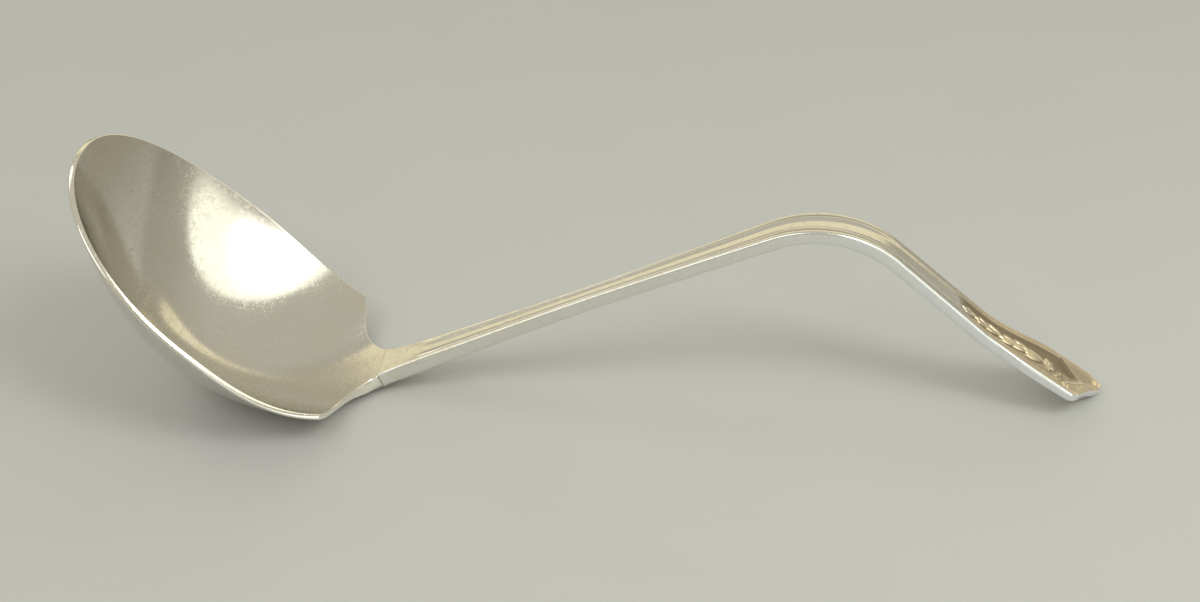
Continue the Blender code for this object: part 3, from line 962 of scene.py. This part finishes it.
# Soft lights that are aimed at LIGHT_TARGET.
# Azimuth, elevation, distance, (width, height), power, colour, roll.
LIGHT_TARGET = Vector((-0.03, 0, 0.01))
LIGHTS = {
    "key": (51, 47, 0.60, (0.17, 0.31), 0.62, (1.0, 0.98, 0.93), 0),
    "softbox": (65, 41, 0.64, (0.38, 0.74), 0.62, (0.97, 1.0, 0.86), 24),
    "warm_wall": (176, 20, 1.5, (2.9, 0.66), 2.1, (1.0, 0.86, 0.50), 0),
    "left": (236, 42, 0.80, (0.34, 0.28), 0.34, (1.0, 0.98, 0.90), 0),
    "front": (-35, 50, 0.9, (0.6, 0.4), 1.1, (0.93, 0.97, 1.0), 0),
    "low_front": (35, 8, 0.9, (0.8, 0.2), 0.42, (0.95, 0.99, 1.0), 0),
}

# The room's colour, by the height of the direction.
ROOM = (
    (0.0, (0.38, 0.355, 0.29, 1)),
    (0.3, (0.42, 0.40, 0.33, 1)),
    (0.7, (0.52, 0.50, 0.42, 1)),
)
FLOOR_RADIUS, FLOOR_CORNERS = 3.0, 96
FLOOR_DROP = 0.00002  # below the ladle, so that the two don't share a plane


def from_angles(azimuth, elevation):
    """Unit vector: azimuth 0 is towards the viewer, -Y, and 90 degrees is +X."""
    flat = cos(elevation)
    return Vector((sin(azimuth) * flat, -cos(azimuth) * flat, sin(elevation)))


def add_camera():
    camera = bpy.data.objects.new("camera", bpy.data.cameras.new("camera"))
    camera.data.lens = CAMERA_LENS
    camera.data.sensor_width = CAMERA_SENSOR
    camera.data.clip_start = CAMERA_NEAR
    back = from_angles(CAMERA_AZIMUTH, CAMERA_ELEVATION)
    camera.location = CAMERA_TARGET + back * CAMERA_DISTANCE
    turn = (-back).to_track_quat("-Z", "Y") @ Quaternion((0, 0, 1), CAMERA_ROLL)
    camera.rotation_mode = "QUATERNION"
    camera.rotation_quaternion = turn
    bpy.context.scene.collection.objects.link(camera)
    bpy.context.scene.camera = camera


def add_light(name, azimuth, elevation, distance, size, power, colour, roll):
    """An oval area light that isn't itself in the picture."""
    data = bpy.data.lights.new(name, "AREA")
    data.shape = "ELLIPSE"
    data.size, data.size_y = size
    data.energy = power
    data.color = colour
    light = bpy.data.objects.new(name, data)
    out = from_angles(radians(azimuth), radians(elevation))
    light.location = LIGHT_TARGET + out * distance
    light.rotation_mode = "QUATERNION"
    turn = (-out).to_track_quat("-Z", "Y") @ Quaternion((0, 0, 1), radians(roll))
    light.rotation_quaternion = turn
    light.visible_camera = False
    bpy.context.scene.collection.objects.link(light)


def add_world():
    world = bpy.data.worlds.new("studio")
    world.use_nodes = True
    tree = world.node_tree
    place = tree.nodes.new("ShaderNodeTexCoord")
    split = tree.nodes.new("ShaderNodeSeparateXYZ")
    ramp = tree.nodes.new("ShaderNodeValToRGB")
    tree.links.new(place.outputs["Generated"], split.inputs[0])
    tree.links.new(split.outputs["Z"], ramp.inputs[0])
    stops = ramp.color_ramp.elements
    while len(stops) < len(ROOM):
        stops.new(1.0)
    for stop, (height, colour) in zip(stops, ROOM):
        stop.position = height
        stop.color = colour
    tree.links.new(ramp.outputs[0], tree.nodes["Background"].inputs["Color"])
    bpy.context.scene.world = world


def add_floor():
    bpy.ops.mesh.primitive_circle_add(
        vertices=FLOOR_CORNERS, radius=FLOOR_RADIUS, fill_type="NGON"
    )
    floor = bpy.context.object
    floor.name = "floor"
    floor.location.z = -FLOOR_DROP
    floor.data.materials.append(floor_material())


def main():
    add_camera()
    add_world()
    for name, light in LIGHTS.items():
        add_light(name, *light)
    bpy.context.scene.view_settings.view_transform = "Standard"
    add_floor()
    made = (
        (make_bowl(), "bowl", "bowl_silver", bowl_material()),
        (make_handle(), "handle", "handle_silver", handle_material()),
        (make_seam(), "neck_solder", "solder", solder_material()),
    )
    for piece, node, slot, material in made:
        piece.data.materials.append(material)
        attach(piece, "root")
        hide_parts(node)
    bpy.context.view_layer.update()


main()
